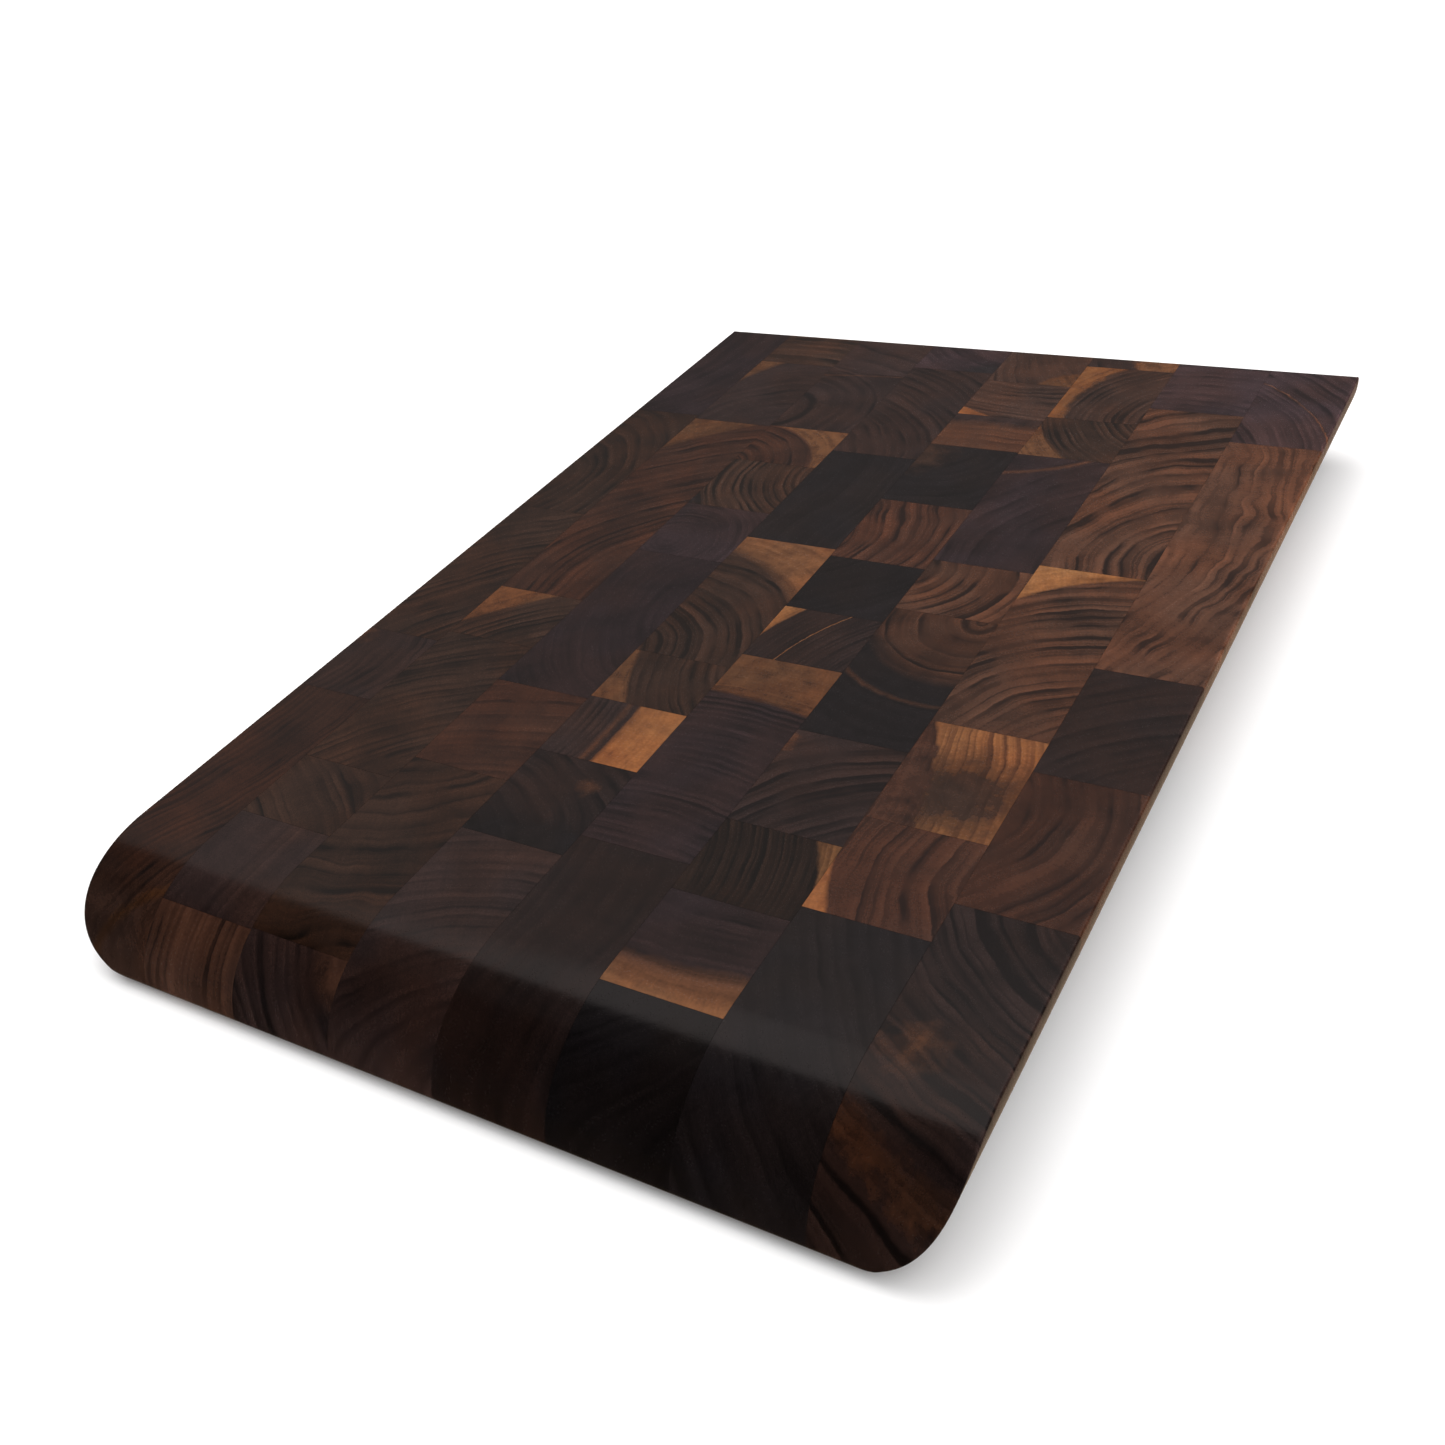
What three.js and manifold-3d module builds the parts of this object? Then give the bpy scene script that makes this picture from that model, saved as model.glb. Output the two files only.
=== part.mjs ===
// An end-grain walnut cutting board. Sixty blocks of walnut stand on end and are glued side by side in eight
// lengthwise strips. The front end is a big rounded nose, and the sides and the back are rounded away
// underneath, so that fingers reach under the board.
// Millimetres. +X runs across the board, -Y is the rounded front end and +Z is up. The origin is on the
// underside, at the middle of the board's length and width.
import * as THREE from "three";
import { mergeVertices } from "three/addons/utils/BufferGeometryUtils.js";
import Module from "manifold-3d";

// The whole board.
const BOARD_WIDTH = 305;
const BOARD_LENGTH = 454;
const BOARD_THICKNESS = 32;

// The front end: the top curves down over this length, and a small round meets the underside.
const NOSE_REACH = 42.5;
const TOE_RADIUS = 5;

// The sides and the back: the underside curves up to the top edge over this length.
const UNDERCUT_REACH = 34;
const ARRIS_RADIUS = 1;

// The glue-up.
const GLUE_LINE = 0.3;
const FIRST_STRIP_WIDTH = 34.1;
const STRIP_WIDTH = 39.2;

// Each curved stretch of an outline is drawn with twice this many straight steps.
const CURVE_SEGMENTS = 6;

// Boxes that cut the blocks out stand this far outside the board.
const CUT_MARGIN = 10;

// Walnut varies from block to block. These are the tones that the maker had to mix.
const TONES = {
  black: 0x1d1715,
  dark: 0x2b201c,
  plum: 0x33252a,
  brown: 0x40291d,
  russet: 0x55321f,
  golden: 0x7a4a24,
  sapwood: 0xb07a3e,
};
const OILED_ROUGHNESS = 0.45;

// The cut list: each strip's blocks from the nose to the back, as a length and a tone.
const STRIPS = [
  [[121.5, "brown"], [40, "dark"], [100.5, "brown"], [97, "brown"], [95, "dark"]],
  [
    [17.5, "russet"], [38.5, "dark"], [31.5, "brown"], [81, "brown"],
    [34, "brown"], [153.5, "russet"], [65.5, "dark"], [32.5, "brown"],
  ],
  [
    [18, "brown"], [81.5, "brown"], [48, "russet"], [95, "plum"], [40, "plum"],
    [41, "brown"], [33.5, "russet"], [60, "dark"], [37, "dark"],
  ],
  [
    [75, "dark"], [42.5, "black"], [32, "sapwood"], [30, "brown"],
    [84, "brown"], [77, "black"], [87.5, "dark"], [26, "plum"],
  ],
  [
    [85, "dark"], [103.5, "plum"], [33, "dark"], [37.5, "black"], [46.5, "russet"],
    [50.5, "black"], [30, "golden"], [35, "russet"], [33, "russet"],
  ],
  [
    [36, "black"], [38.5, "plum"], [33, "brown"], [47.5, "dark"], [76.5, "black"],
    [35, "golden"], [88.5, "plum"], [35.5, "brown"], [53, "russet"], [10.5, "golden"],
  ],
  [[81, "black"], [41.5, "russet"], [50.5, "golden"], [100, "golden"], [134, "golden"], [47, "plum"]],
  [[97, "dark"], [61.5, "russet"], [57.5, "dark"], [167.5, "golden"], [70.5, "plum"]],
];

const HALF_WIDTH = BOARD_WIDTH / 2;
const FRONT = -BOARD_LENGTH / 2;
const BACK = BOARD_LENGTH / 2;

const wasm = await Module();
wasm.setup();

// A closed geometry as a solid that can be cut.
function solidOf(geometry) {
  const bare = geometry.clone();
  bare.deleteAttribute("normal");
  bare.deleteAttribute("uv");
  const merged = mergeVertices(bare);
  return new wasm.Manifold(
    new wasm.Mesh({
      numProp: 3,
      vertProperties: new Float32Array(merged.attributes.position.array),
      triVerts: new Uint32Array(merged.index.array),
    }),
  );
}

// A solid as a geometry that a mesh can show.
function geometryOf(solid) {
  const mesh = solid.getMesh();
  const geometry = new THREE.BufferGeometry();
  geometry.setAttribute("position", new THREE.BufferAttribute(mesh.vertProperties, 3));
  geometry.setIndex(new THREE.BufferAttribute(mesh.triVerts, 1));
  geometry.computeVertexNormals();
  return geometry;
}

// Adds an undercut edge to the right of an outline: up from the underside, round to the softened top edge.
function addUndercutEdge(shape, edge) {
  const springHeight = BOARD_THICKNESS - ARRIS_RADIUS;
  shape.absellipse(edge - UNDERCUT_REACH, springHeight, UNDERCUT_REACH, springHeight, -Math.PI / 2, 0);
  shape.absarc(edge - ARRIS_RADIUS, springHeight, ARRIS_RADIUS, 0, Math.PI / 2);
}

// The board's section across its width: flat on top, and rounded away underneath at both sides.
function crossSection() {
  const springHeight = BOARD_THICKNESS - ARRIS_RADIUS;
  const shape = new THREE.Shape();
  addUndercutEdge(shape, HALF_WIDTH);
  shape.absarc(ARRIS_RADIUS - HALF_WIDTH, springHeight, ARRIS_RADIUS, Math.PI / 2, Math.PI);
  shape.absellipse(
    UNDERCUT_REACH - HALF_WIDTH, springHeight, UNDERCUT_REACH, springHeight, Math.PI, 1.5 * Math.PI,
  );
  return shape;
}

// The board's section along its length: the nose at the front, and an undercut edge at the back.
function lengthwiseSection() {
  const toeAngle = Math.asin(TOE_RADIUS / BOARD_THICKNESS);
  const noseCentre = FRONT + NOSE_REACH * Math.cos(toeAngle);
  const shape = new THREE.Shape();
  addUndercutEdge(shape, BACK);
  shape.absellipse(noseCentre, 0, NOSE_REACH, BOARD_THICKNESS, Math.PI / 2, Math.PI - toeAngle);
  shape.absarc(FRONT + TOE_RADIUS, TOE_RADIUS, TOE_RADIUS, Math.PI, 1.5 * Math.PI);
  return shape;
}

// Extrudes a section and turns it so that its x, its y and the extrusion follow the given axes.
function extruded(shape, length, xAxis, yAxis, alongAxis) {
  const geometry = new THREE.ExtrudeGeometry(shape, {
    depth: length,
    bevelEnabled: false,
    curveSegments: CURVE_SEGMENTS,
  });
  geometry.translate(0, 0, -length / 2);
  geometry.applyMatrix4(new THREE.Matrix4().makeBasis(xAxis, yAxis, alongAxis));
  return solidOf(geometry);
}

// The board before it is divided: everything that lies inside both sections.
function boardBody() {
  const across = new THREE.Vector3(1, 0, 0);
  const along = new THREE.Vector3(0, 1, 0);
  const up = new THREE.Vector3(0, 0, 1);
  const overWidth = extruded(lengthwiseSection(), BOARD_WIDTH + CUT_MARGIN, along, up, across);
  const overLength = extruded(crossSection(), BOARD_LENGTH + CUT_MARGIN, across, up, along.clone().negate());
  return overWidth.intersect(overLength);
}

// The part of the board between two glue lines each way. A limit at the board's own edge is left uncut.
function blockGeometry(body, left, right, front, back) {
  const inset = GLUE_LINE / 2;
  const low = new THREE.Vector3(
    left > -HALF_WIDTH ? left + inset : left - CUT_MARGIN,
    front > FRONT ? front + inset : front - CUT_MARGIN,
    -CUT_MARGIN,
  );
  const high = new THREE.Vector3(
    right < HALF_WIDTH ? right - inset : right + CUT_MARGIN,
    back < BACK ? back - inset : back + CUT_MARGIN,
    BOARD_THICKNESS + CUT_MARGIN,
  );
  const size = high.clone().sub(low);
  const middle = high.clone().add(low).multiplyScalar(0.5);
  const box = new THREE.BoxGeometry(size.x, size.y, size.z).translate(middle.x, middle.y, middle.z);
  return geometryOf(body.intersect(solidOf(box)));
}

function blockMesh(name, geometry, tone) {
  const material = new THREE.MeshStandardMaterial({
    color: TONES[tone],
    roughness: OILED_ROUGHNESS,
    metalness: 0,
  });
  const mesh = new THREE.Mesh(geometry, material);
  mesh.name = name;
  return mesh;
}

// One strip: its blocks in a row from the nose, the last one reaching the back.
function stripOfBlocks(body, number, left, right) {
  const group = new THREE.Group();
  const blocks = STRIPS[number - 1];
  let front = FRONT;
  blocks.forEach(([length, tone], index) => {
    const back = index === blocks.length - 1 ? BACK : front + length;
    const geometry = blockGeometry(body, left, right, front, back);
    group.add(blockMesh(`strip_${number}_block_${index + 1}`, geometry, tone));
    front = back;
  });
  return group;
}

function cuttingBoard() {
  const board = new THREE.Group();
  const body = boardBody();
  let left = -HALF_WIDTH;
  for (let number = 1; number <= STRIPS.length; number += 1) {
    const width = number === 1 ? FIRST_STRIP_WIDTH : STRIP_WIDTH;
    const right = number === STRIPS.length ? HALF_WIDTH : left + width;
    board.add(stripOfBlocks(body, number, left, right));
    left = right;
  }
  return board;
}

export default cuttingBoard();
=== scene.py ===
import math

import bmesh
import bpy
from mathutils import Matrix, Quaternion, Vector


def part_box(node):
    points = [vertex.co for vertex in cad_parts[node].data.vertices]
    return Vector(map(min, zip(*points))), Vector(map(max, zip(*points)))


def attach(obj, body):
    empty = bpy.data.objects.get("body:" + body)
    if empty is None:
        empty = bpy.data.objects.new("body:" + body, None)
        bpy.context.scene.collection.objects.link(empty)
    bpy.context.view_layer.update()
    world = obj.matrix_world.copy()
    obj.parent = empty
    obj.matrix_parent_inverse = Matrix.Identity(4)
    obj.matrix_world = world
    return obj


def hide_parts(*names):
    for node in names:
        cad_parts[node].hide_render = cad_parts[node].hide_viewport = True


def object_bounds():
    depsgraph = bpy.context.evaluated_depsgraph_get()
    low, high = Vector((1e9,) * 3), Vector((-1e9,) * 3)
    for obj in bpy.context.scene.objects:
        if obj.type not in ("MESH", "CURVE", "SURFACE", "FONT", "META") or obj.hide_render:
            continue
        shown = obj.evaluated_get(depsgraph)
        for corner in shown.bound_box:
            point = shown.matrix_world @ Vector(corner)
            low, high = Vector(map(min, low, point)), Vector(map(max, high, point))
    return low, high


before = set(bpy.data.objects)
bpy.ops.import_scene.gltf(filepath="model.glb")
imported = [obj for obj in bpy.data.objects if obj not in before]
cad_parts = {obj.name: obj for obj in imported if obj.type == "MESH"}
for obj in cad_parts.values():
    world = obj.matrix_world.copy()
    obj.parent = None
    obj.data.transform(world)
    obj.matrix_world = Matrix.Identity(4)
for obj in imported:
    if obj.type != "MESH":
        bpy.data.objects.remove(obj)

MM = 0.001
WHITE = (1.0, 1.0, 1.0, 1)
UP = Vector((0, 0, 1))
ACROSS = Vector((1, 0, 0))
ALONG = Vector((0, 1, 0))

CAD_LOW, CAD_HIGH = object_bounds()

# The board's shape.
THICKNESS = CAD_HIGH.z
HALF_WIDTH = CAD_HIGH.x
HALF_LENGTH = CAD_HIGH.y
NOSE_REACH = 42.5 * MM
TOE_RADIUS = 5 * MM
UNDERCUT_REACH = 34 * MM
ARRIS_RADIUS = 1 * MM
SPRING_HEIGHT = THICKNESS - ARRIS_RADIUS
NOSE_STEPS = 48
TOE_STEPS = 8
UNDERCUT_STEPS = 36
FILLET_STEPS = 4

# The CAD model leaves gaps between its blocks, and the real glue lines are finer.
CAD_GAP = 0.3 * MM
GLUE_LINE = 0.08 * MM

# How the blocks' meshes are made: how near a plane a point counts as on it, how near two points are made one,
# and from which angle an edge is drawn as an edge.
ON_PLANE = 1e-7
WELD_DISTANCE = 2e-6
EDGE_ANGLE = math.radians(35)

# The finish is rubbed thin along the top's edges, and the paler colour there is in part a painted highlight,
# where the side edges catch the light. This is how far in, and between which heights it begins, in
# millimetres, and how much paler and duller the wood is there.
WEAR_AND_HIGHLIGHT_REACH = 1.6
WEAR_AND_HIGHLIGHT_LOW = 24.0
WEAR_AND_HIGHLIGHT_HIGH = 31.0
WEAR_AND_HIGHLIGHT_PALING = 1.4
WEAR_DULLNESS = 0.2

# The oiled surface: how dull it is, and what fibres, pores and late wood add to that and to its height.
OIL_ROUGHNESS = 0.17
FIBRE_ROUGHNESS, PORE_ROUGHNESS, LATE_SMOOTHNESS = 0.04, 0.15, 0.04
FIBRE_HEIGHT, PORE_DEPTH, LATE_HEIGHT = 0.25, 0.8, 0.3
OIL_IOR = 1.47
BUMP_STRENGTH = 0.2
BUMP_DISTANCE = 0.05 * MM

# The photo's camera. The lens and the sensor are in millimetres.
CAMERA_PLACE = Vector((0.2472, -0.4059, 0.3191))
CAMERA_AIM = Vector((-0.0004, -0.0584, 0.016))
CAMERA_ROLL = math.radians(-10.16)
CAMERA_LENS = 37.3
CAMERA_SENSOR = 36

# The lamps, each with its name, its strength, the angle it seems to be wide and the way it shines. The floor
# has lamps of its own, for a narrow, pale shadow.
FLOOR_LAMPS = [
    ("Floor key", 1.6, 60, (0.5, -0.4, -1)),
    ("Floor top", 1.7, 100, (0, 0, -1)),
    ("Floor side", 2.1, 100, (-1, 0, -0.7)),
]
BOARD_LAMPS = [
    ("Back", 4.0, 60, (0.1, -1, -0.8)),
    ("Top", 0.6, 60, (0, -0.4, -1)),
    ("Side", 1.7, 60, (-1, -0.6, -0.7)),
    ("Bounce", 2.6, 80, (-0.1, 1, 0.5)),
]
FLOOR_SIZE = 40
FLOOR_GREY = 0.9

# The walls round the board are only light that depends on the direction. A direction's y points to the back
# and its z up, from -1 to 1. Each part of the walls begins between two such places.
WALL_FROM, WALL_GAIN, WALL_DROP = (0.10, 0.14), 0.53, 0.11
HIGH_WALL_FROM, HIGH_WALL_LIGHT = (0.70, 0.80), 0.25
CEILING_FROM, CEILING_UP, CEILING_LIGHT = (-0.22, -0.15), (0, 0.3), 0.04
GROUND_FROM, GROUND_DOWN, GROUND_LIGHT = (0.1, 0.5), (-0.1, -0.3), 0.30
LEAST_LIGHT = 0.03
HORIZON = (0, -0.1)
SKY_COLOUR = (1.0, 0.9, 0.87, 1)
GROUND_COLOUR = (1.0, 0.72, 0.5, 1)


# ---- The shape ----
# A plane is a (normal, offset) pair, and it keeps the points whose dot product with the normal is at most the
# offset. A profile gives, for a height, how far out a surface is and the outward and upward parts of its
# normal.


def undercut_at(height, edge):
    """The surface that curves up from the underside to the top edge, at the sides and the back."""
    if height >= SPRING_HEIGHT:
        return edge, 1.0, 0.0
    angle = math.asin(height / SPRING_HEIGHT - 1)
    normal = Vector((math.cos(angle) / UNDERCUT_REACH, math.sin(angle) / SPRING_HEIGHT)).normalized()
    return edge - UNDERCUT_REACH + UNDERCUT_REACH * math.cos(angle), normal.x, normal.y


def nose_at(height, edge):
    """The surface that curves down from the top to the toe, at the front."""
    if height < TOE_RADIUS:
        angle = math.asin(1 - height / TOE_RADIUS)
        return edge - TOE_RADIUS + TOE_RADIUS * math.cos(angle), math.cos(angle), -math.sin(angle)
    toe_angle = math.asin(TOE_RADIUS / THICKNESS)
    angle = math.asin(min(1.0, height / THICKNESS))
    normal = Vector((math.cos(angle) / NOSE_REACH, math.sin(angle) / THICKNESS)).normalized()
    return edge + NOSE_REACH * (math.cos(angle) - math.cos(toe_angle)), normal.x, normal.y


def undercut_heights():
    """The heights where the undercut is faceted, closest together near the underside."""
    return [
        SPRING_HEIGHT * (1 - math.cos(math.pi / 2 * i / UNDERCUT_STEPS))
        for i in range(1, UNDERCUT_STEPS + 1)
    ]


def nose_heights():
    """The heights where the nose and the toe under it are faceted."""
    toe_angle = math.asin(TOE_RADIUS / THICKNESS)
    span = math.pi / 2 - toe_angle
    nose = [THICKNESS * math.sin(toe_angle + span * i / NOSE_STEPS) for i in range(NOSE_STEPS)]
    toe = [TOE_RADIUS * (1 - math.cos(math.pi / 2 * i / TOE_STEPS)) for i in range(1, TOE_STEPS + 1)]
    return toe + nose


def profile_planes(profile, heights, outward, edge):
    """The planes that touch a profile's surface at these heights."""
    planes = []
    for height in heights:
        reach, out, up = profile(height, edge)
        planes.append((outward * out + UP * up, out * reach + up * height))
    return planes


def fillet_planes(point, first, second):
    """The planes round a ball that rolls along the edge between two surfaces with these normals."""
    centre = point - (first + second) * (ARRIS_RADIUS / (1 + first.dot(second)))
    planes = []
    for i in range(1, FILLET_STEPS):
        normal = first.lerp(second, i / FILLET_STEPS).normalized()
        planes.append((normal, normal.dot(centre) + ARRIS_RADIUS))
    return planes


def crease_planes(profile, heights, outward, edge, side):
    """The softened edge where an end's surface meets the undercut of one side."""
    planes = []
    for height in heights:
        reach, out, up = profile(height, edge)
        side_reach, side_out, side_up = undercut_at(height, HALF_WIDTH)
        planes += fillet_planes(
            outward * reach + side * side_reach + UP * height,
            outward * out + UP * up,
            side * side_out + UP * side_up,
        )
    return planes


def board_planes():
    """The whole board as the space inside these planes. It works because no part of the board is hollow."""
    low, high = undercut_heights(), nose_heights()
    planes = [(UP, THICKNESS), (-UP, 0.0)]
    planes += profile_planes(nose_at, high, -ALONG, HALF_LENGTH)
    planes += profile_planes(undercut_at, low, ALONG, HALF_LENGTH)
    planes += fillet_planes(ALONG * HALF_LENGTH + UP * THICKNESS, UP, ALONG)
    for side in (ACROSS, -ACROSS):
        planes += profile_planes(undercut_at, low, side, HALF_WIDTH)
        planes += fillet_planes(side * HALF_WIDTH + UP * THICKNESS, UP, side)
        planes += crease_planes(nose_at, high, -ALONG, HALF_LENGTH, side)
        planes += crease_planes(undercut_at, low, ALONG, HALF_LENGTH, side)
    return planes


def block_cell(node, gap):
    """The low and high corner of a block, with its glued faces moved out until only this gap is left."""
    low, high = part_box(node)
    grow = (CAD_GAP - gap) / 2
    for axis in (0, 1):
        if low[axis] > CAD_LOW[axis] + ARRIS_RADIUS:
            low[axis] -= grow
        if high[axis] < CAD_HIGH[axis] - ARRIS_RADIUS:
            high[axis] += grow
    low.z, high.z = 0.0, THICKNESS
    return low, high


def cut_mesh(top, bottom, planes):
    """The part of a block that lies inside all the planes. The block is given by its cell at the top and a
    slightly wider one at the bottom, where the blocks touch, so that nothing shines through a glue line."""
    bm = bmesh.new()
    bmesh.ops.create_cube(bm, size=1.0)
    for vert in bm.verts:
        low, high = top if vert.co.z > 0 else bottom
        vert.co = Vector(low[i] + (vert.co[i] + 0.5) * (high[i] - low[i]) for i in range(3))
    for normal, offset in planes:
        if max(normal.dot(vert.co) for vert in bm.verts) <= offset + ON_PLANE:
            continue
        bmesh.ops.bisect_plane(
            bm,
            geom=bm.verts[:] + bm.edges[:] + bm.faces[:],
            dist=ON_PLANE,
            plane_co=normal * offset,
            plane_no=normal,
            clear_outer=True,
        )
        bmesh.ops.holes_fill(bm, edges=[edge for edge in bm.edges if edge.is_boundary])
    bmesh.ops.remove_doubles(bm, verts=bm.verts[:], dist=WELD_DISTANCE)
    bmesh.ops.recalc_face_normals(bm, faces=bm.faces[:])
    return bm


def build_block(node, planes):
    """A piece that stands for one CAD block."""
    bm = cut_mesh(block_cell(node, GLUE_LINE), block_cell(node, 0.0), planes)
    mesh = bpy.data.meshes.new(node + "_walnut")
    bm.to_mesh(mesh)
    bm.free()
    mesh.shade_smooth()
    mesh.set_sharp_from_angle(angle=EDGE_ANGLE)
    piece = bpy.data.objects.new(node + "_walnut", mesh)
    bpy.context.scene.collection.objects.link(piece)
    weighted = piece.modifiers.new("Weighted normals", "WEIGHTED_NORMAL")
    weighted.keep_sharp = True
    return piece


# ---- The looks of the wood ----
# Each tone is the colour of a growth ring's late and early wood, as red, green and blue from 0 to 255.
TONES = {
    "black": ((11, 8, 8), (30, 24, 24)),
    "dark": ((20, 13, 12), (54, 37, 32)),
    "plum": ((19, 12, 13), (50, 35, 35)),
    "brown": ((19, 11, 7), (58, 37, 26)),
    "russet": ((26, 13, 9), (72, 42, 28)),
    "hazel": ((29, 18, 14), (78, 52, 40)),
    "golden": ((32, 18, 12), (98, 62, 43)),
    "honey": ((50, 29, 19), (88, 55, 37)),
    "amber": ((50, 28, 16), (98, 61, 35)),
    "fawn": ((66, 38, 22), (116, 73, 42)),
    "sapwood": ((85, 49, 28), (144, 90, 48)),
    "cream": ((100, 62, 34), (168, 110, 62)),
}
OUTSIDE, INSIDE, BAND = 1.0, -1.0, 0.0


def patch(tone, centre, radius, side=OUTSIDE, softness=0.7, ragged=0.5):
    """Wood of another tone, outside or inside a circle or in a band along it. The centre is measured from the
    middle of the block."""
    return {
        "tone": tone,
        "centre": centre,
        "radius": radius,
        "side": side,
        "softness": softness,
        "ragged": ragged,
    }


def look(tone, pith, spacing, contrast, *patches, wave=1.5, stretch=1.0, shade=1.0):
    """A block's growth rings: where their centre is from the middle of the block, how far apart they are, how
    strongly they show, how wavy they are and how much longer than wide, and how light the block is."""
    return {
        "tone": tone,
        "pith": pith,
        "spacing": spacing,
        "contrast": contrast,
        "patches": patches,
        "wave": wave,
        "stretch": stretch,
        "shade": shade,
    }


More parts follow.
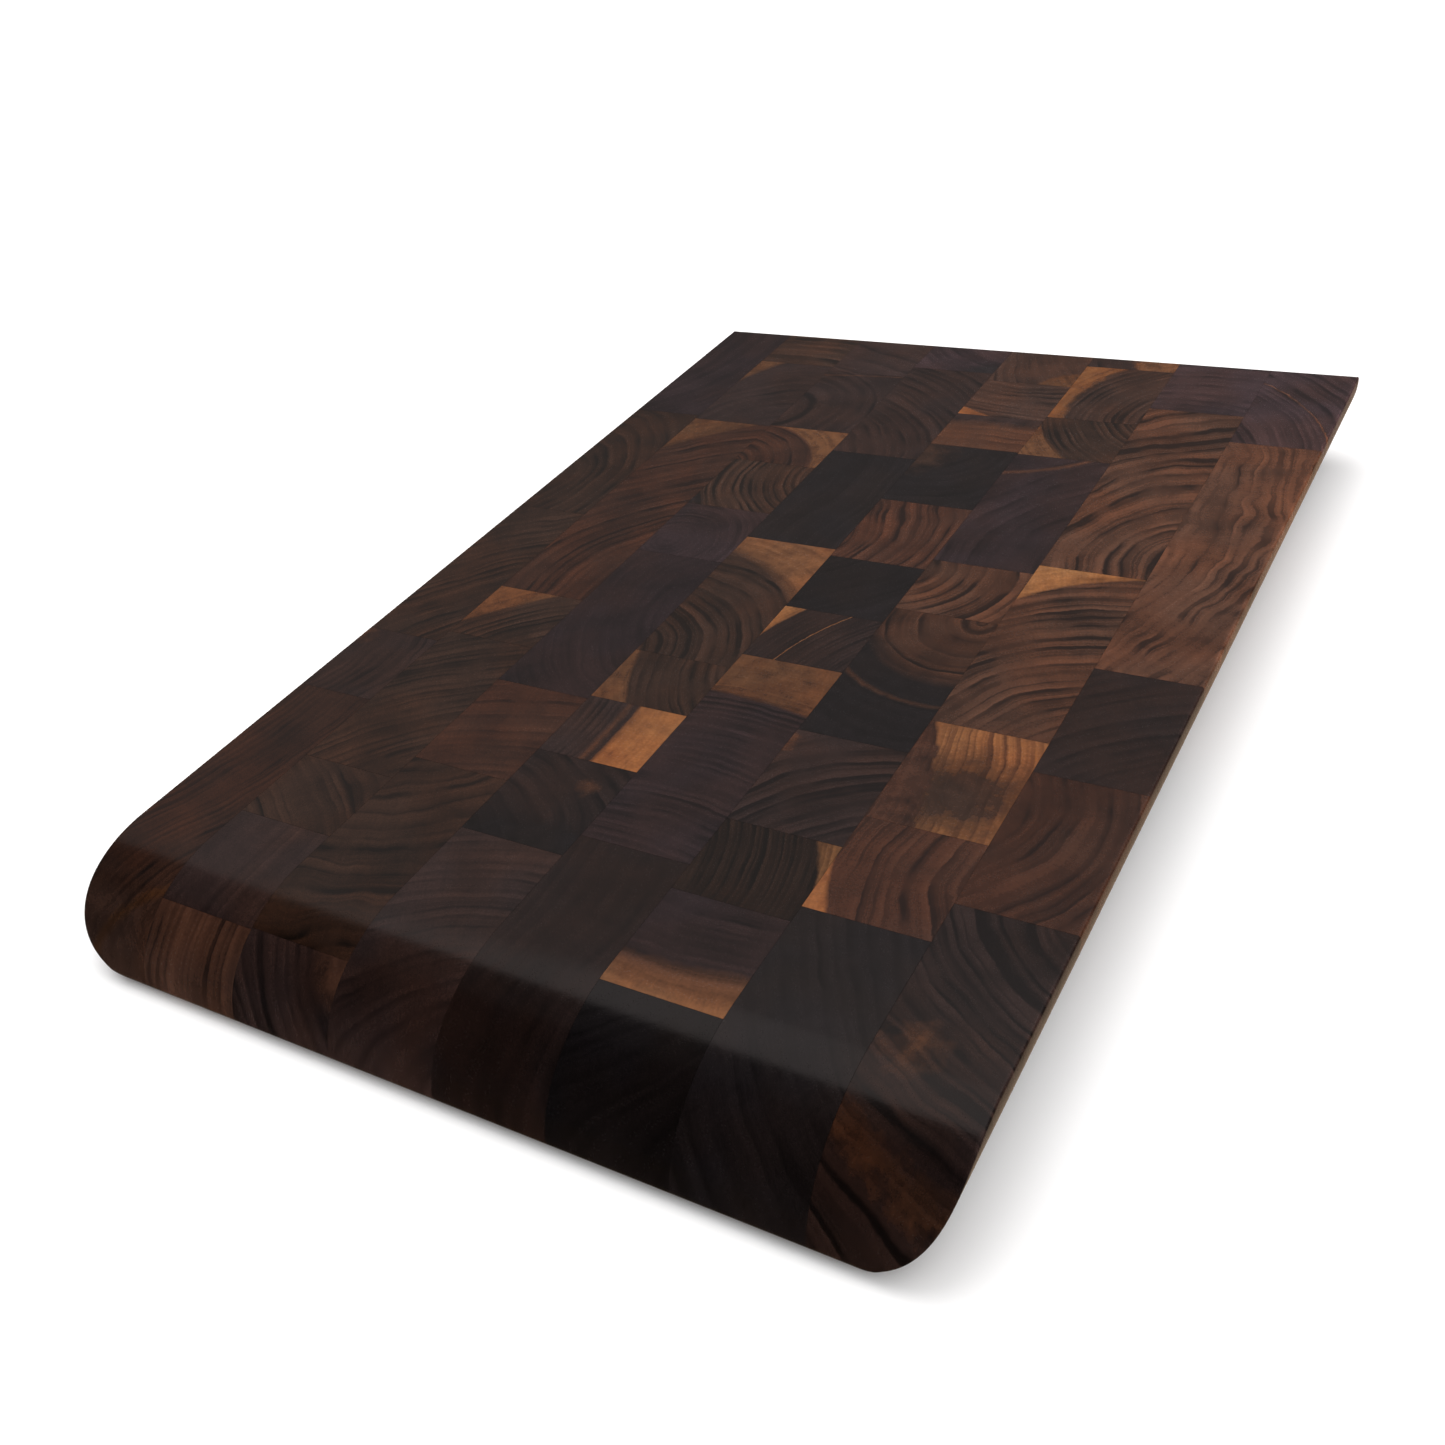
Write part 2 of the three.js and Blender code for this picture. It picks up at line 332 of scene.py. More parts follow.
# One list for each strip, from the left, with the blocks in order from the nose to the back.
LOOKS = [
    [
        look(
            "russet", (-160, 60), 3.4, 0.7,
            # The hazel outside this circle covers the nose below about 28 mm. It is the wood's redder tone
            # there, and in part painted light from the floor below.
            patch("hazel", (0, 60), 100, OUTSIDE, 6, 2),
            patch("amber", (69, -126), 100, BAND, 2.5, 0.6),
            shade=0.5,
        ),
        look("dark", (-40, 0), 4.5, 0.7, patch("honey", (-13, 17), 4, INSIDE, 3, 2), wave=2.5, shade=0.72),
        look("brown", (90, -95), 4.5, 0.8, wave=2.5, shade=0.78),
        look("brown", (-19, -22), 5.5, 0.8, wave=2.0, stretch=1.5, shade=0.7),
        look("plum", (-90, 30), 6.0, 0.4, wave=2.0, shade=0.7),
    ],
    [
        look("hazel", (-60, 10), 3.4, 0.5, shade=1.1),
        look("dark", (-120, 20), 5.0, 0.35, shade=0.86),
        look("brown", (-55, -80), 4.0, 0.8, shade=0.75),
        look("brown", (70, -80), 3.8, 0.7, shade=0.77),
        look("brown", (55, -57), 4.0, 1.0, patch("amber", (135, -140), 201), shade=0.84),
        look("russet", (69, -67), 5.5, 0.9, patch("amber", (136, -82), 200), wave=2.0, shade=0.7),
        look(
            "dark", (30, -40), 7.0, 0.4,
            patch("amber", (76, -26), 100, OUTSIDE, 1.5),
            wave=2.0, shade=0.84,
        ),
        look("brown", (0, -90), 6.0, 1.1, shade=1.2),
    ],
    [
        look("dark", (60, 40), 5.0, 0.7, patch("hazel", (24, 12), 12, INSIDE, 4), wave=2.0, shade=0.8),
        look("brown", (-50, 110), 6.5, 0.9, wave=3.5, shade=0.66),
        look("russet", (40, -120), 4.5, 0.4, shade=0.7),
        look("plum", (60, 20), 5.0, 0.4, wave=2.0, shade=0.62),
        look("plum", (-8, -8), 3.2, 0.5),
        look("brown", (42, 18), 4.2, 1.5, patch("black", (-22, -19), 9, INSIDE, 3, 2), shade=1.05),
        look("russet", (-25, -25), 4.0, 0.9, patch("fawn", (-25, -25), 46), shade=0.76),
        look(
            "dark", (-25, -10), 7.0, 0.6,
            patch("honey", (30, -239), 270, BAND, 0.7, 0.3),
            wave=2.0, shade=0.8,
        ),
        look("dark", (60, 130), 7.0, 0.4, wave=2.0, shade=1.15),
    ],
    [
        look("dark", (60, -120), 4.0, 0.5, shade=0.8),
        look(
            "dark", (-40, -50), 7.0, 1.2,
            patch("black", (14, -72), 66, INSIDE, 5, 3),
            patch("honey", (12, 11), 3, INSIDE, 2, 2),
            wave=2.5, shade=0.45,
        ),
        look(
            "dark", (-90, 0), 3.2, 0.7,
            patch("sapwood", (-300, 0), 305),
            patch("honey", (-300, 0), 301, BAND, 2),
            wave=0.8, shade=0.8,
        ),
        look("brown", (60, 28), 4.0, 0.8, patch("amber", (101, 49), 120), shade=0.85),
        look("brown", (-26, -42), 4.8, 1.1, patch("fawn", (-43, -49), 87, OUTSIDE, 3), shade=0.85),
        look("black", (-200, 20), 6.0, 0.5, wave=2.0, shade=0.85),
        look("dark", (-50, -60), 5.0, 0.8, shade=0.8),
        look("plum", (50, 60), 6.0, 0.5, patch("black", (20, -16), 14, INSIDE, 3, 2), wave=2.0, shade=1.45),
    ],
    [
        look("dark", (-150, 20), 6.0, 0.4, shade=0.4),
        look("plum", (0, -110), 3.2, 0.8, patch("amber", (-15, -150), 181, OUTSIDE, 0.8), shade=0.72),
        look(
            "dark", (75, -30), 2.2, 0.9,
            patch("cream", (75, -30), 96),
            patch("cream", (75, -30), 80.4, BAND, 0.3, 0.1),
            wave=0.6, shade=0.62,
        ),
        look("black", (-60, 60), 5.0, 0.5, wave=2.0, shade=0.65),
        look("russet", (-60, -3), 4.0, 1.1, wave=2.2),
        look(
            "black", (-10, 22), 6.0, 0.5,
            patch("brown", (-19, 17), 14, INSIDE, 6, 2),
            wave=2.0, shade=0.8,
        ),
        look("honey", (0, -150), 6.0, 0.6, patch("dark", (0, -200), 210, OUTSIDE, 3, 1), shade=0.9),
        look("hazel", (10, 90), 4.5, 0.9, patch("sapwood", (60, 130), 158), wave=2.5, shade=0.87),
        look("hazel", (60, 30), 5.0, 0.6, patch("amber", (26, -20), 19, INSIDE), wave=2.0, shade=0.79),
    ],
    [
        look("black", (-60, 80), 5.0, 0.5, shade=0.5),
        look("plum", (0, 110), 4.5, 0.6, patch("cream", (-10, 150), 163, OUTSIDE, 9, 1), shade=0.58),
        look("brown", (-90, -20), 2.4, 1.4, patch("cream", (-82.4, -34.8), 111), wave=0.7, shade=0.36),
        look("dark", (40, -45), 5.5, 1.3, patch("honey", (-19, 19), 6, INSIDE, 1.0, 1.5), shade=0.66),
        look(
            "golden", (17, 40), 5.5, 1.0,
            patch("black", (17, 40), 35, OUTSIDE, 6),
            patch("honey", (17, 40), 52, BAND, 1.5),
            wave=2.0, shade=0.5,
        ),
        look("golden", (-27, 12), 5.5, 1.2, wave=1.2, shade=0.72),
        look("plum", (60, -30), 7.0, 0.5, patch("honey", (-30, 90), 62, BAND, 1.8), wave=2.0, shade=0.88),
        look("brown", (60, 45), 3.0, 0.9, patch("amber", (81, 62), 110), wave=0.8),
        look(
            "hazel", (55, -20), 4.0, 0.9,
            patch("sapwood", (55, -10), 66, OUTSIDE, 1.5, 2),
            wave=1.0, shade=0.65,
        ),
        look("dark", (60, 20), 5.0, 0.6, patch("amber", (18, 4), 14, INSIDE, 1.5, 1.5), shade=1.1),
    ],
    [
        look("black", (120, 90), 5.0, 0.5, shade=0.82),
        look("russet", (70, 8), 4.2, 0.65, patch("sapwood", (71, 23), 90), wave=2.2, shade=0.88),
        look(
            "sapwood", (-150, -20), 2.4, 0.8,
            patch("brown", (7, -4), 18, INSIDE, 8, 5),
            patch("russet", (-135, -31), 134, INSIDE, 0.8, 1),
            shade=0.76,
        ),
        look("golden", (42, -62), 5.0, 1.0, patch("cream", (37, -16), 69), shade=0.68),
        look("golden", (31, -58), 6.0, 1.1, wave=2.5, stretch=1.4, shade=0.78),
        look("plum", (0, -90), 5.0, 0.5, shade=1.75),
    ],
    [
        look(
            "dark", (45, 70), 4.5, 1.4,
            patch("amber", (-4, -1), 4, INSIDE, 6, 3),
            patch("honey", (45, 70), 112, BAND, 6, 3),
            wave=2.0, shade=0.48,
        ),
        look("russet", (-45, 12), 4.5, 0.6, wave=2.0, shade=0.72),
        look("dark", (50, -60), 4.5, 0.5, shade=0.58),
        look("golden", (-200, 20), 5.0, 0.7, wave=3.5, shade=0.98),
        look("plum", (-70, -55), 4.5, 0.7, patch("honey", (-70, -55), 96, BAND, 0.6), wave=1.2, shade=1.7),
    ],
]


class Graph:
    """Adds nodes to a node tree and joins them, with one call for each."""

    def __init__(self, tree):
        self.tree = tree

    def add(self, kind, **settings):
        node = self.tree.nodes.new(kind)
        for name, value in settings.items():
            setattr(node, name, value)
        return node

    def feed(self, socket, value):
        """Gives an input a plain value, or links it to an output."""
        if isinstance(value, bpy.types.NodeSocket):
            self.tree.links.new(value, socket)
        else:
            socket.default_value = value

    def math(self, operation, *values, clamp=False):
        node = self.add("ShaderNodeMath", operation=operation, use_clamp=clamp)
        for socket, value in zip(node.inputs, values):
            self.feed(socket, value)
        return node.outputs[0]

    def vector(self, operation, first, second):
        node = self.add("ShaderNodeVectorMath", operation=operation)
        self.feed(node.inputs[0], first)
        self.feed(node.inputs[1], second)
        return node.outputs[1 if operation in ("LENGTH", "DISTANCE") else 0]

    def combine(self, x, y, z):
        node = self.add("ShaderNodeCombineXYZ")
        for socket, value in zip(node.inputs, (x, y, z)):
            self.feed(socket, value)
        return node.outputs[0]

    def separate(self, vector):
        node = self.add("ShaderNodeSeparateXYZ")
        self.feed(node.inputs[0], vector)
        return node.outputs

    def mix(self, factor, first, second, blend="MIX"):
        node = self.add("ShaderNodeMix", data_type="RGBA", blend_type=blend)
        self.feed(node.inputs[0], factor)
        self.feed(node.inputs[6], first)
        self.feed(node.inputs[7], second)
        return node.outputs[2]

    def noise(self, vector, scale, detail=2.0, roughness=0.5, dimensions="2D"):
        node = self.add("ShaderNodeTexNoise", noise_dimensions=dimensions)
        self.feed(node.inputs["Vector"], vector)
        self.feed(node.inputs["Scale"], scale)
        self.feed(node.inputs["Detail"], detail)
        self.feed(node.inputs["Roughness"], roughness)
        return node.outputs[0]

    def noise_along(self, value, scale, detail=1.0):
        node = self.add("ShaderNodeTexNoise", noise_dimensions="1D")
        self.feed(node.inputs["W"], value)
        self.feed(node.inputs["Scale"], scale)
        self.feed(node.inputs["Detail"], detail)
        return node.outputs[0]

    def smooth(self, value, low, high):
        """0 below low and 1 above high, with a smooth change between."""
        node = self.add("ShaderNodeMapRange", interpolation_type="SMOOTHSTEP")
        self.feed(node.inputs[0], value)
        self.feed(node.inputs[1], low)
        self.feed(node.inputs[2], high)
        return node.outputs[0]

    def ramp(self, value, stops):
        """A grey value read from a list of (place, grey)."""
        node = self.add("ShaderNodeValToRGB")
        elements = node.color_ramp.elements
        while len(elements) < len(stops):
            elements.new(0.5)
        for element, (place, grey) in zip(elements, stops):
            element.position = place
            element.color = (grey, grey, grey, 1)
        self.feed(node.inputs[0], value)
        return node.outputs[0]

    def spread(self, value, amount):
        """A 0 to 1 value as plus or minus amount."""
        return self.math("MULTIPLY", self.math("SUBTRACT", value, 0.5), self.math("MULTIPLY", amount, 2.0))


# The grain's numbers, with lengths in millimetres. A noise has a scale (its waves for each millimetre), a
# detail and a roughness. A share says how strongly a pattern shows.
LEAN_ACROSS, LEAN_ALONG = 0.10, 0.06
SEED_STEPS = (37.0, 91.0, 13.0)
SLOW_NOISE, SLOW_SHARE = (0.022, 2.0), 2.2
QUICK_NOISE, QUICK_SHARE = (0.09, 2.0), 0.4
FINE_NOISE, FINE_SHARE = (0.6, 2.0), 0.25
MOTTLE_NOISE, MOTTLE_SHARE = (0.16, 3.0, 0.6), 0.6
CLOUD_NOISE, CLOUD_SHARE = (0.04, 3.0, 0.6), 0.55
UNEVEN_NOISE, UNEVEN_RANGE = (0.05, 1.0), (0.35, 0.62)
LEAST_CONTRAST, MORE_CONTRAST = 0.35, 0.9
DRIFT_NOISE, DRIFT_RANGE = (0.028, 2.0), (0.35, 0.65)
WEAR_AND_HIGHLIGHT_NOISE = (0.07, 3.0, 0.6)
WARM, COOL = (1.07, 0.98, 0.93, 1.0), (0.93, 1.0, 1.12, 1.0)

# A year's growth, from its start at 0 to its end at 1, as (time, how dark), and how dark it is on average.
SEASON = [(0.0, 0.5), (0.1, 0.1), (0.4, 0.2), (0.75, 0.75), (0.9, 1.0), (1.0, 0.5)]
SEASON_MEAN = 0.42

# A patch is darker close to its circle. This is how fast that fades for each millimetre, and how strongly it
# and the rings show in the patch.
NEAR_FADE, NEAR_SHARE = 0.12, 0.3
RINGS_IN_PATCH = 0.5

# What the rings are made of: wide and narrow years, the season, each year's own tone, and coarse and fine
# lines. Their noises run outward from the pith, in waves for each year.
YEAR_WIDTH_NOISE, YEAR_WIDTH_SHARE = 0.35, 0.8
SEASON_SHARE = 0.6
YEAR_SHARE = 0.2
COARSE_NOISE, COARSE_SHARE = 0.9, 0.5
LINES_NOISE, LINES_SHARE = (4.0, 2.0), 0.35

# Fibres, rays and pores are drawn out upward, so a step upward counts for this much of a step sideways. Rays
# are narrow round the pith and long outward from it, and late wood has the smaller pores.
DRAWN_OUT = 0.05
FIBRE_NOISE, FIBRE_SHARE = (1.1, 2.0, 0.7), 0.40
RAY_NOISE, RAY_SHARE = (1.0, 1.0, 0.6), 0.16
RAYS_AROUND, RAY_STEP = 150.0, 0.12
PORE_SCALE, PORE_SHARE = 1.6, 0.3
PORE_CORE, PORE_RIM = 0.14, 0.32
PORES_LOST_LATE = 0.8

GRAIN_INPUTS = (
    ("pith", "NodeSocketVector"),
    ("stretch", "NodeSocketFloat"),
    ("spacing", "NodeSocketFloat"),
    ("contrast", "NodeSocketFloat"),
    ("wave", "NodeSocketFloat"),
    ("shade", "NodeSocketFloat"),
    ("seed", "NodeSocketVector"),
    ("late", "NodeSocketColor"),
    ("early", "NodeSocketColor"),
)
PATCH_INPUTS = (
    ("centre", "NodeSocketVector"),
    ("radius", "NodeSocketFloat"),
    ("side", "NodeSocketFloat"),
    ("softness", "NodeSocketFloat"),
    ("ragged", "NodeSocketFloat"),
    ("late", "NodeSocketColor"),
    ("early", "NodeSocketColor"),
)
GRAIN_OUTPUTS = (
    ("colour", "NodeSocketColor"),
    ("roughness", "NodeSocketFloat"),
    ("height", "NodeSocketFloat"),
)
PATCHES = 2


def patch_input(number, name):
    """The name of the grain's input for one of its patches."""
    return f"patch {number + 1} {name}"


def add_sockets(tree):
    """The grain's inputs and outputs."""
    inputs = list(GRAIN_INPUTS)
    for number in range(PATCHES):
        inputs += [(patch_input(number, name), kind) for name, kind in PATCH_INPUTS]
    for name, kind in inputs:
        tree.interface.new_socket(name, in_out="INPUT", socket_type=kind)
    for name, kind in GRAIN_OUTPUTS:
        tree.interface.new_socket(name, in_out="OUTPUT", socket_type=kind)


def ring_darkness(g, given, seeded, radius):
    """How late in its year each point grew, and how dark it is between the early and the late colour: rings,
    finer lines along them, and clouds."""
    seed_x = g.separate(given["seed"])[0]
    years = g.math("ADD", g.math("DIVIDE", radius, given["spacing"]), seed_x)
    rings = g.math("ADD", years, g.spread(g.noise_along(years, YEAR_WIDTH_NOISE), YEAR_WIDTH_SHARE))
    late = g.ramp(g.math("FRACT", rings), SEASON)
    year = g.add("ShaderNodeTexWhiteNoise", noise_dimensions="1D")
    g.feed(year.inputs["W"], g.math("FLOOR", rings))

    rhythm = g.math("MULTIPLY", g.math("SUBTRACT", late, SEASON_MEAN), SEASON_SHARE)
    rhythm = g.math("ADD", rhythm, g.spread(year.outputs[0], YEAR_SHARE))
    rhythm = g.math("ADD", rhythm, g.spread(g.noise_along(years, COARSE_NOISE), COARSE_SHARE))
    rhythm = g.math("ADD", rhythm, g.spread(g.noise_along(years, *LINES_NOISE), LINES_SHARE))
    uneven = g.smooth(g.noise(seeded, *UNEVEN_NOISE), *UNEVEN_RANGE)
    uneven = g.math("ADD", LEAST_CONTRAST, g.math("MULTIPLY", uneven, MORE_CONTRAST))
    strength = g.math("MULTIPLY", given["contrast"], uneven)
    darkness = g.math("ADD", g.math("MULTIPLY", rhythm, strength), 0.5)
    cloud = g.noise(seeded, *CLOUD_NOISE)
    return late, g.math("ADD", darkness, g.spread(cloud, CLOUD_SHARE), clamp=True)


def paint_patch(g, part, colour, flat, fine, mottle, darkness):
    """Lays wood of another tone over the colour, on one side of a circle or in a band along it."""
    beyond = g.math("SUBTRACT", g.vector("DISTANCE", flat, part["centre"]), part["radius"])
    torn = g.spread(mottle, g.math("MULTIPLY", part["ragged"], 2.0))
    beyond = g.math("ADD", beyond, g.math("ADD", fine, torn))
    over = g.math("DIVIDE", beyond, part["softness"])
    disc = g.math("ADD", g.math("MULTIPLY", over, g.math("MULTIPLY", part["side"], 0.5)), 0.5, clamp=True)
    band = g.math("SUBTRACT", 1.0, g.math("ABSOLUTE", over), clamp=True)
    solid = g.math("ABSOLUTE", part["side"])
    disc = g.math("MULTIPLY", disc, solid)
    band = g.math("MULTIPLY", band, g.math("SUBTRACT", 1.0, solid))
    mask = g.math("ADD", disc, band)

    far = g.math("MULTIPLY", g.math("ABSOLUTE", beyond), NEAR_FADE)
    near = g.math("SUBTRACT", 1.0, far, clamp=True)
    depth = g.math("ADD", g.math("MULTIPLY", darkness, RINGS_IN_PATCH), g.math("MULTIPLY", near, NEAR_SHARE))
    depth = g.math("ADD", depth, g.spread(mottle, MOTTLE_SHARE), clamp=True)
    return g.mix(mask, colour, g.mix(depth, part["early"], part["late"]))


def wear_and_highlight(g, place):
    """Where handling has rubbed oil off the top's edges, and where the side edges get a painted highlight."""
    x, y, z = g.separate(place)
    side_edge = g.smooth(g.math("ABSOLUTE", x), HALF_WIDTH / MM - WEAR_AND_HIGHLIGHT_REACH, HALF_WIDTH / MM)
    back_edge = g.smooth(y, HALF_LENGTH / MM - WEAR_AND_HIGHLIGHT_REACH, HALF_LENGTH / MM)
    wear_and_highlight_mask = g.math("MULTIPLY", g.math("MAXIMUM", side_edge, back_edge), g.smooth(z, WEAR_AND_HIGHLIGHT_LOW, WEAR_AND_HIGHLIGHT_HIGH))
    return g.math("MULTIPLY", wear_and_highlight_mask, g.noise(place, *WEAR_AND_HIGHLIGHT_NOISE, "3D"))


def grain_group():
    """End-grain walnut, in millimetres: growth rings round a pith, rays across them, pores, and patches of
    another tone. The fibres run up and down, so on a steep surface the grain shows as upright streaks."""
    tree = bpy.data.node_groups.new("End grain walnut", "ShaderNodeTree")
    add_sockets(tree)
    g = Graph(tree)
    given = g.add("NodeGroupInput").outputs
    shown = g.add("NodeGroupOutput").inputs
    place = g.vector("MULTIPLY", g.add("ShaderNodeTexCoord").outputs["Object"], (1 / MM, 1 / MM, 1 / MM))
    x, y, z = g.separate(place)
    # The tree's trunk leans a little in the board, so the rings shift with height.
    x = g.math("ADD", x, g.math("MULTIPLY", z, LEAN_ACROSS))
    y = g.math("ADD", y, g.math("MULTIPLY", z, LEAN_ALONG))
    flat = g.combine(x, y, 0.0)
    seeded = g.vector("ADD", flat, given["seed"])

    # How far out in the tree each point is, with waves in the rings.
    slow = g.spread(g.noise(seeded, *SLOW_NOISE), g.math("MULTIPLY", given["wave"], SLOW_SHARE))
    quick = g.spread(g.noise(seeded, *QUICK_NOISE), g.math("MULTIPLY", given["wave"], QUICK_SHARE))
    fine = g.spread(g.noise(seeded, *FINE_NOISE), FINE_SHARE)
    from_pith = g.separate(g.vector("SUBTRACT", flat, given["pith"]))
    across, along = from_pith[0], g.math("DIVIDE", from_pith[1], given["stretch"])
    radius = g.vector("LENGTH", g.combine(across, along, 0.0), (0, 0, 0))
    radius = g.math("ADD", radius, g.math("ADD", slow, g.math("ADD", quick, fine)))

    late, darkness = ring_darkness(g, given, seeded, radius)
    mottle = g.noise(seeded, *MOTTLE_NOISE)
    colour = g.mix(darkness, given["early"], given["late"])
    for number in range(PATCHES):
        part = {name: given[patch_input(number, name)] for name, _ in PATCH_INPUTS}
        colour = paint_patch(g, part, colour, flat, fine, mottle, darkness)

    # Slow drifts of hue, fibre ends, rays that run out from the pith, and pores, drawn out along the fibres.
    drift = g.smooth(g.noise(seeded, *DRIFT_NOISE), *DRIFT_RANGE)
    colour = g.mix(1.0, colour, g.mix(drift, WARM, COOL), "MULTIPLY")
    drawn_z = g.math("MULTIPLY", z, DRAWN_OUT)
    drawn = g.combine(x, y, drawn_z)
    fibre = g.noise(drawn, *FIBRE_NOISE, "3D")
    turn = g.math("MULTIPLY", g.math("ARCTAN2", along, across), RAYS_AROUND)
    ray_place = g.combine(turn, g.math("MULTIPLY", radius, RAY_STEP), drawn_z)
    ray = g.noise(ray_place, *RAY_NOISE, "3D")
    cells = g.add("ShaderNodeTexVoronoi", feature="F1")
    g.feed(cells.inputs["Vector"], drawn)
    g.feed(cells.inputs["Scale"], PORE_SCALE)
    pore = g.math("SUBTRACT", 1.0, g.smooth(cells.outputs["Distance"], PORE_CORE, PORE_RIM))
    pore = g.math("MULTIPLY", pore, g.math("SUBTRACT", 1.0, g.math("MULTIPLY", late, PORES_LOST_LATE)))
    light = g.math("ADD", 1.0, g.spread(fibre, FIBRE_SHARE))
    light = g.math("ADD", light, g.spread(ray, RAY_SHARE))
    light = g.math("SUBTRACT", light, g.math("MULTIPLY", pore, PORE_SHARE))
    light = g.math("MULTIPLY", light, given["shade"])
    colour = g.mix(1.0, colour, g.combine(light, light, light), "MULTIPLY")

    # The worn edges are paler and duller in places. The paling is in part a painted highlight, where the side
    # edges catch the light.
    wear_and_highlight_mask = wear_and_highlight(g, place)
    paling_and_highlight = g.math("ADD", 1.0, g.math("MULTIPLY", wear_and_highlight_mask, WEAR_AND_HIGHLIGHT_PALING))
    colour = g.mix(1.0, colour, g.combine(paling_and_highlight, paling_and_highlight, paling_and_highlight), "MULTIPLY")
    g.feed(shown["colour"], colour)

    rough = g.math("ADD", OIL_ROUGHNESS, g.spread(fibre, FIBRE_ROUGHNESS))
    rough = g.math("ADD", rough, g.math("MULTIPLY", pore, PORE_ROUGHNESS))
    rough = g.math("ADD", rough, g.math("MULTIPLY", wear_and_highlight_mask, WEAR_DULLNESS))
    g.feed(shown["roughness"], g.math("SUBTRACT", rough, g.math("MULTIPLY", late, LATE_SMOOTHNESS)))
    height = g.math("SUBTRACT", g.math("MULTIPLY", late, LATE_HEIGHT), g.math("MULTIPLY", pore, PORE_DEPTH))
    g.feed(shown["height"], g.math("ADD", height, g.spread(fibre, FIBRE_HEIGHT)))
    return tree


def linear(rgb):
    """A colour from 0 to 255, on the sRGB curve, in the numbers that shaders work in."""
    parts = [c / 255 for c in rgb]
    return (*[c / 12.92 if c <= 0.04045 else ((c + 0.055) / 1.055) ** 2.4 for c in parts], 1.0)


def walnut(name, group, middle, seed, choice):
    """One block's material."""
    material = bpy.data.materials.new(name)
    material.use_nodes = True
    g = Graph(material.node_tree)
    shader = material.node_tree.nodes["Principled BSDF"]
    grain = g.add("ShaderNodeGroup", node_tree=group)

    def from_middle(offset):
        return (middle.x / MM + offset[0], middle.y / MM + offset[1], 0.0)

    late, early = TONES[choice["tone"]]
    values = {
        "pith": from_middle(choice["pith"]),
        "stretch": choice["stretch"],
        "spacing": choice["spacing"],
        "contrast": choice["contrast"],
        "wave": choice["wave"],
        "shade": choice["shade"],
        "seed": tuple(seed * step for step in SEED_STEPS),
        "late": linear(late),
        "early": linear(early),
    }
    unused = patch(choice["tone"], (0, 0), 0, BAND, 0.01)
    for number in range(PATCHES):
        part = choice["patches"][number] if number < len(choice["patches"]) else unused
        late, early = TONES[part["tone"]]
        part = dict(part, centre=from_middle(part["centre"]), late=linear(late), early=linear(early))
        values.update({patch_input(number, key): part[key] for key, _ in PATCH_INPUTS})
    for key, value in values.items():
        grain.inputs[key].default_value = value
    bump = g.add("ShaderNodeBump")
    bump.inputs["Strength"].default_value = BUMP_STRENGTH
    bump.inputs["Distance"].default_value = BUMP_DISTANCE
    g.feed(bump.inputs["Height"], grain.outputs["height"])
    g.feed(shader.inputs["Base Color"], grain.outputs["colour"])
    g.feed(shader.inputs["Roughness"], grain.outputs["roughness"])
    g.feed(shader.inputs["Normal"], bump.outputs["Normal"])
    shader.inputs["IOR"].default_value = OIL_IOR
    return material


def build_camera():
    """The camera that took the photo."""
    data = bpy.data.cameras.new("Camera")
    data.sensor_width = CAMERA_SENSOR
    data.lens = CAMERA_LENS
    camera = bpy.data.objects.new("Camera", data)
    bpy.context.scene.collection.objects.link(camera)
    camera.location = CAMERA_PLACE
    camera.rotation_mode = "QUATERNION"
    turn = (CAMERA_AIM - CAMERA_PLACE).to_track_quat("-Z", "Y")
    camera.rotation_quaternion = turn @ Quaternion(UP, CAMERA_ROLL)
    bpy.context.scene.camera = camera


def add_lamp(name, energy, angle, heading, receivers):
    """A sun lamp for soft, even light. Its mirror image is left out, so that it doesn't shine off the oil."""
    lamp = bpy.data.objects.new(name, bpy.data.lights.new(name, "SUN"))
    lamp.data.energy = energy
    lamp.data.angle = math.radians(angle)
    lamp.rotation_mode = "QUATERNION"
    lamp.rotation_quaternion = Vector(heading).to_track_quat("-Z", "Y")
    lamp.visible_glossy = False
    lamp.light_linking.receiver_collection = receivers
    bpy.context.scene.collection.objects.link(lamp)


def receivers_of(thing, state):
    """A collection that makes a lamp shine on one thing alone, or on all but that thing."""
    collection = bpy.data.collections.new(f"{state} {thing.name}")
    collection.objects.link(thing)
    collection.collection_objects[0].light_linking.link_state = state
    return collection


def build_floor():
    """A white floor that isn't mirrored in the oiled wood and casts no shadow on it."""
    half = FLOOR_SIZE / 2
    corners = [(-half, -half, 0), (half, -half, 0), (half, half, 0), (-half, half, 0)]
    mesh = bpy.data.meshes.new("Floor")
    mesh.from_pydata(corners, [], [(0, 1, 2, 3)])
    floor = bpy.data.objects.new("Floor", mesh)
    bpy.context.scene.collection.objects.link(floor)
    floor.visible_glossy = False
    floor.visible_shadow = False
    material = bpy.data.materials.new("Floor")
    material.use_nodes = True
    shader = material.node_tree.nodes["Principled BSDF"]
    shader.inputs["Base Color"].default_value = (FLOOR_GREY, FLOOR_GREY, FLOOR_GREY, 1)
    shader.inputs["Roughness"].default_value = 1.0
    shader.inputs["Specular IOR Level"].default_value = 0.0
    mesh.materials.append(material)
    return floor


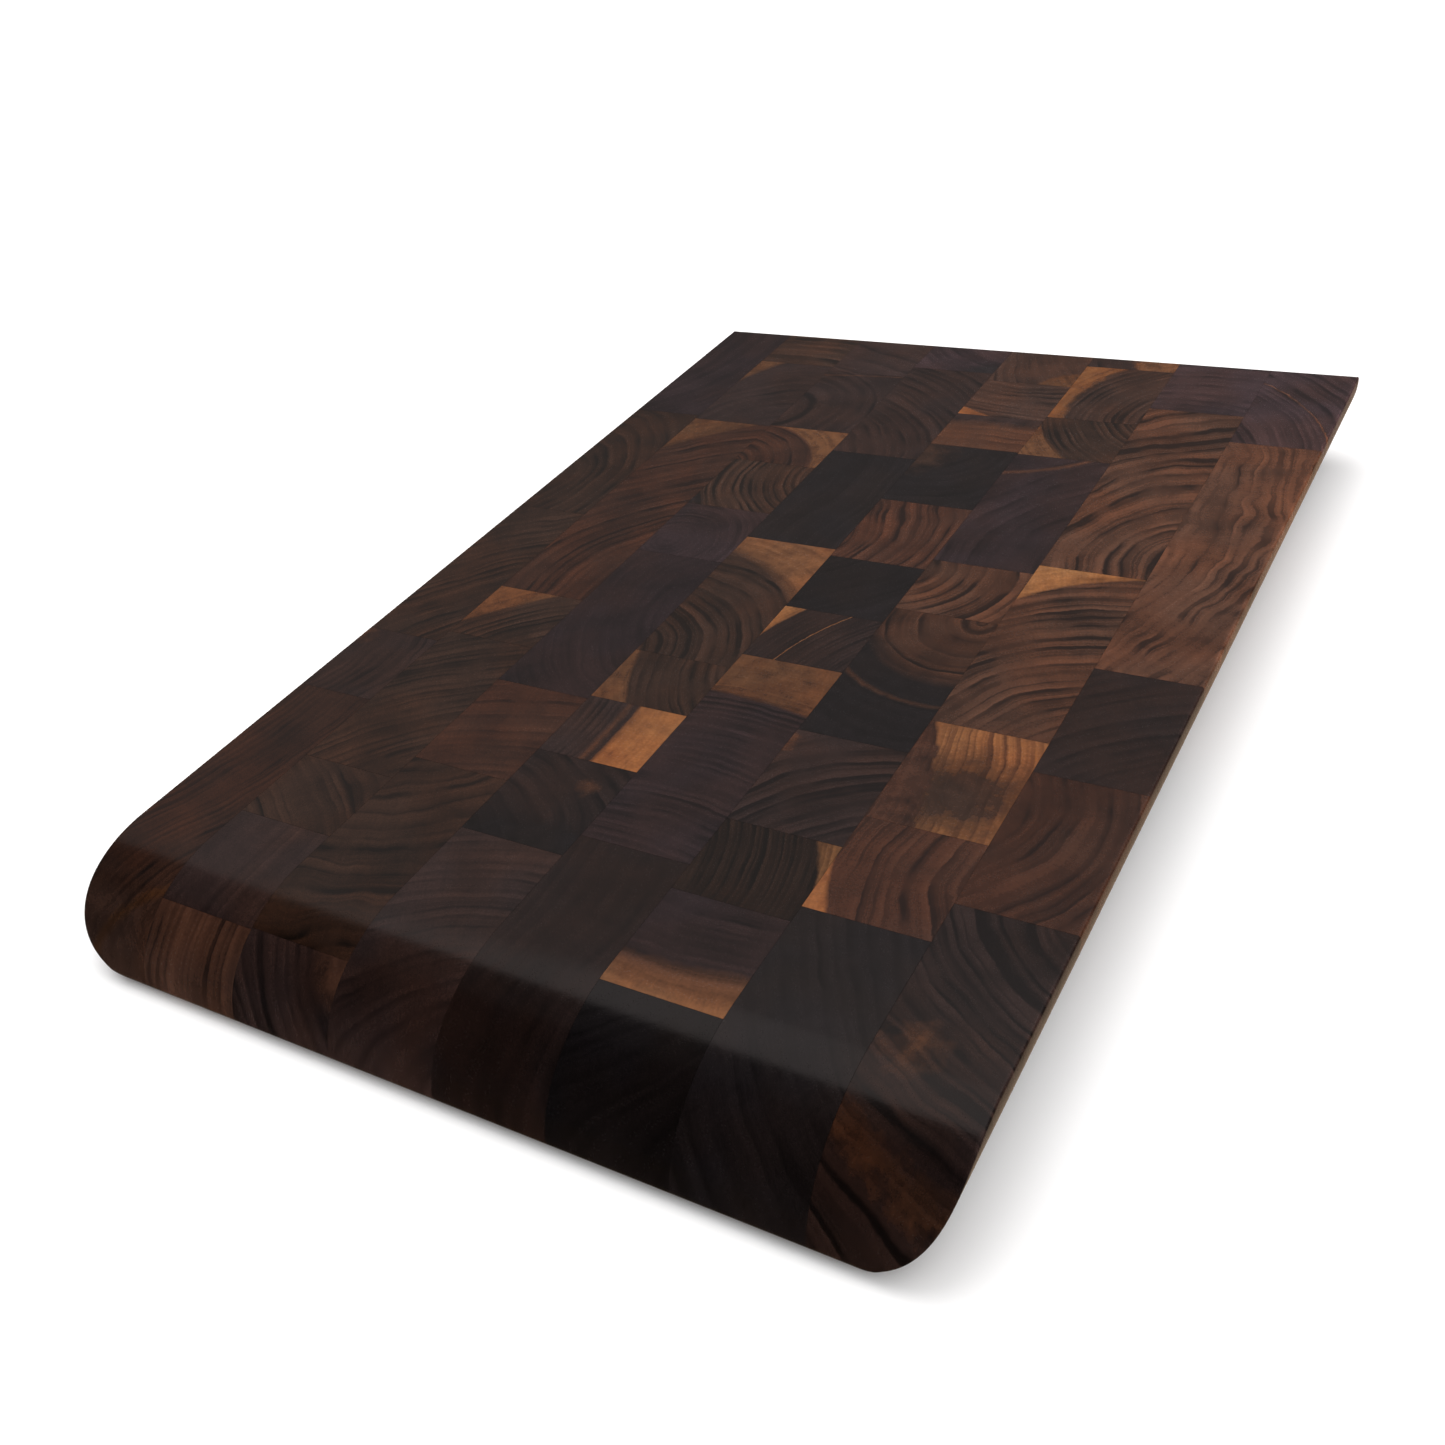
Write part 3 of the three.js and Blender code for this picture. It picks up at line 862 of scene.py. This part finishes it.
def build_world():
    """Walls that are pale behind the board and dark in front of it. They give the oiled top its pale sheen
    and leave the nose dark. The camera itself sees a white backdrop."""
    world = bpy.data.worlds.new("Studio")
    world.use_nodes = True
    g = Graph(world.node_tree)
    _, y, z = g.separate(g.add("ShaderNodeTexCoord").outputs["Generated"])
    wall = g.math("SUBTRACT", g.math("MULTIPLY", z, WALL_GAIN), WALL_DROP)
    wall = g.math("ADD", wall, g.math("MULTIPLY", g.smooth(z, *HIGH_WALL_FROM), HIGH_WALL_LIGHT))
    wall = g.math("MULTIPLY", g.smooth(y, *WALL_FROM), g.math("MAXIMUM", wall, 0.0))
    ceiling = g.math("MULTIPLY", g.smooth(z, *CEILING_UP), CEILING_LIGHT)
    ceiling = g.math("MULTIPLY", g.smooth(y, *CEILING_FROM), ceiling)
    ground = g.math("MULTIPLY", g.smooth(z, *GROUND_DOWN), GROUND_LIGHT)
    ground = g.math("MULTIPLY", g.smooth(y, *GROUND_FROM), ground)
    level = g.math("ADD", g.math("ADD", LEAST_LIGHT, ground), g.math("ADD", wall, ceiling))
    colour = g.mix(g.smooth(z, *HORIZON), SKY_COLOUR, GROUND_COLOUR)
    seen = g.add("ShaderNodeLightPath").outputs["Is Camera Ray"]
    background = world.node_tree.nodes["Background"]
    g.feed(background.inputs["Color"], g.mix(seen, colour, WHITE))
    g.feed(background.inputs["Strength"], g.math("MAXIMUM", level, seen))
    bpy.context.scene.world = world


def build_studio():
    """A white floor, large soft lamps and the world around them."""
    floor = build_floor()
    floor_alone, board_alone = receivers_of(floor, "INCLUDE"), receivers_of(floor, "EXCLUDE")
    for lamp in FLOOR_LAMPS:
        add_lamp(*lamp, floor_alone)
    for lamp in BOARD_LAMPS:
        add_lamp(*lamp, board_alone)
    build_world()
    bpy.context.scene.view_settings.view_transform = "Standard"


def main():
    """Builds the blocks with their looks, then the studio and the camera."""
    planes = board_planes()
    group = grain_group()
    seed = 0
    for strip, looks in enumerate(LOOKS, 1):
        for number, choice in enumerate(looks, 1):
            seed += 1
            node = f"strip_{strip}_block_{number}"
            piece = build_block(node, planes)
            low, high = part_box(node)
            piece.data.materials.append(walnut(piece.name, group, (low + high) / 2, seed, choice))
            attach(piece, "root")
            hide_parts(node)
    build_studio()
    build_camera()


main()
